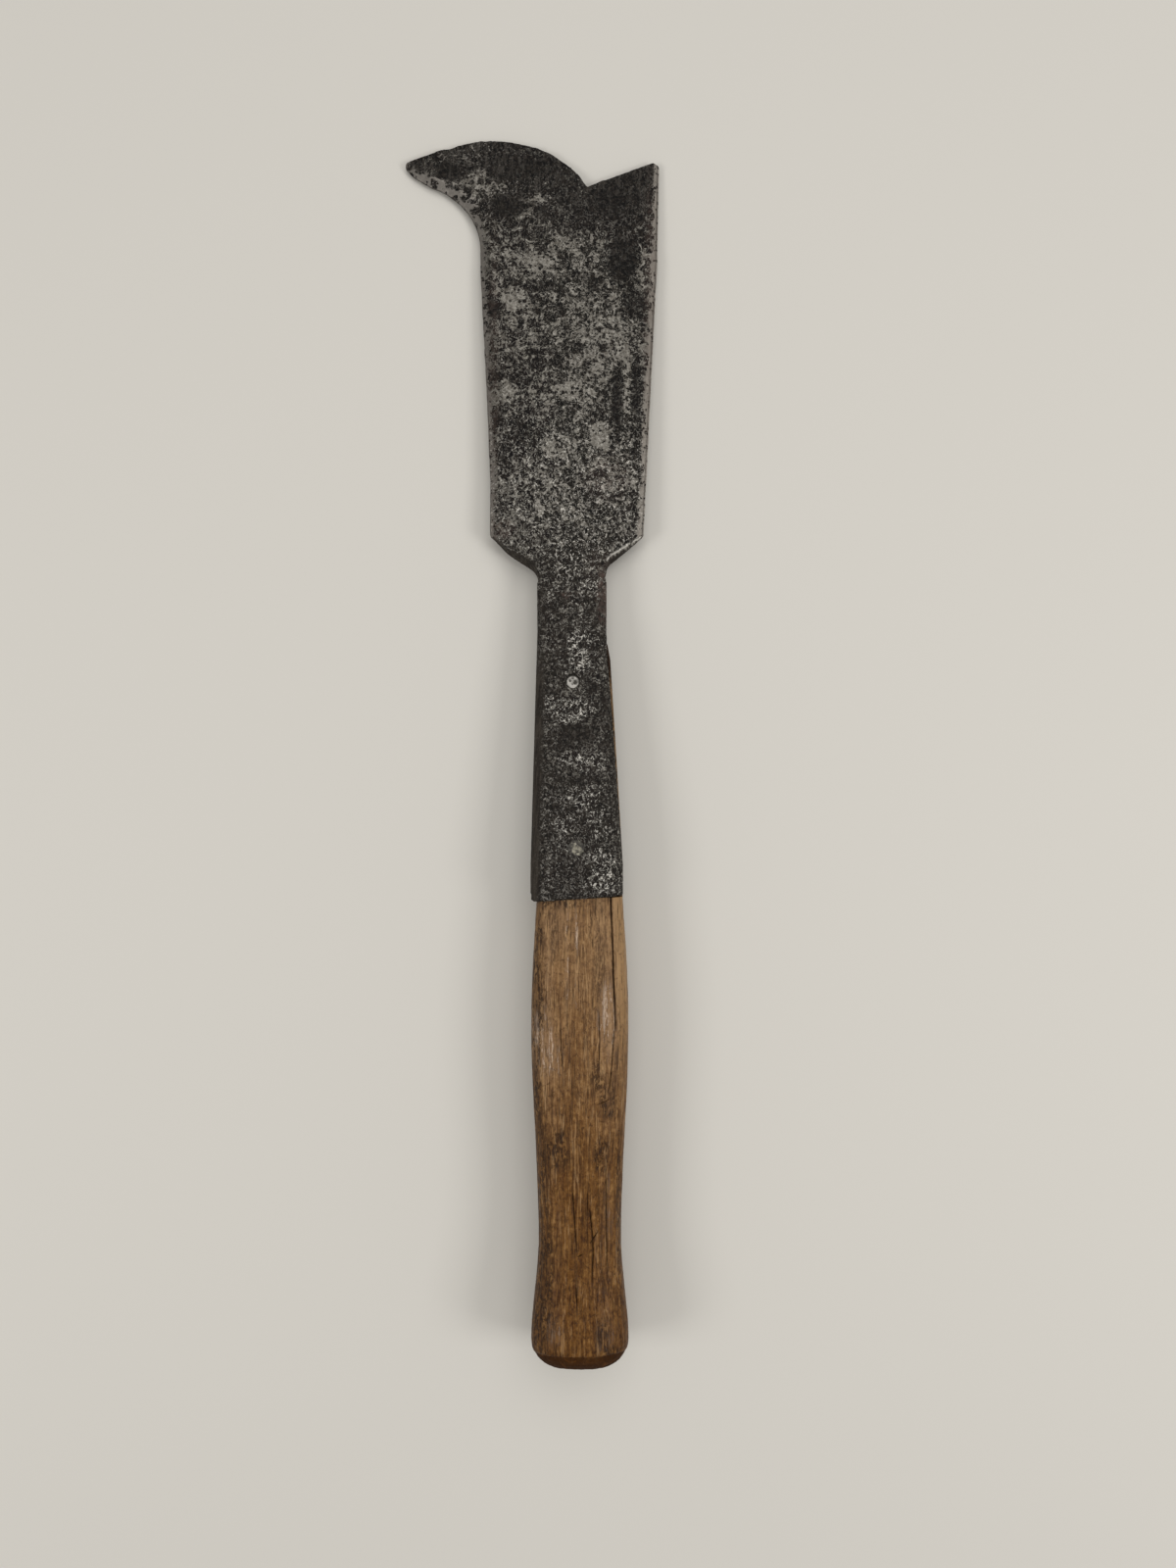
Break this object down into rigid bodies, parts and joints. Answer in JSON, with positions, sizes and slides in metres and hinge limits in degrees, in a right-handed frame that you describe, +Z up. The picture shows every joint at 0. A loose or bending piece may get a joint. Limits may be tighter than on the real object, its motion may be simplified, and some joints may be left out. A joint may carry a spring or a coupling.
{
  "type": "billhook",
  "caption": "Socketed billhook with a beaked and notched double-edged blade, an open-seamed folded socket and a swollen wooden handle.",
  "frame": {"origin": "middle of the tool's footprint on the bench it lies on: the centre of its box in X and Y, at its lowest height", "axes": "+Y runs from the handle's butt to the blade's top, +Z is up out of the blade's front face, +X is to the right with the blade away from you, the side with the straight edge and the socket's seam"},
  "size_m": [0.1114, 0.5258, 0.0403],
  "materials": {
    "forged_steel": "bare, pitted and blackened, brighter along the ground edges",
    "ash": "oiled by the hand, open-grained, checked",
    "rivet_steel": "filed flush, worn bright"
  },
  "bodies": {
    "root": {"forged_head": "forged_steel", "handle": "ash", "neck_rivet": "rivet_steel", "mouth_rivet": "rivet_steel"}
  },
  "joints": []
}
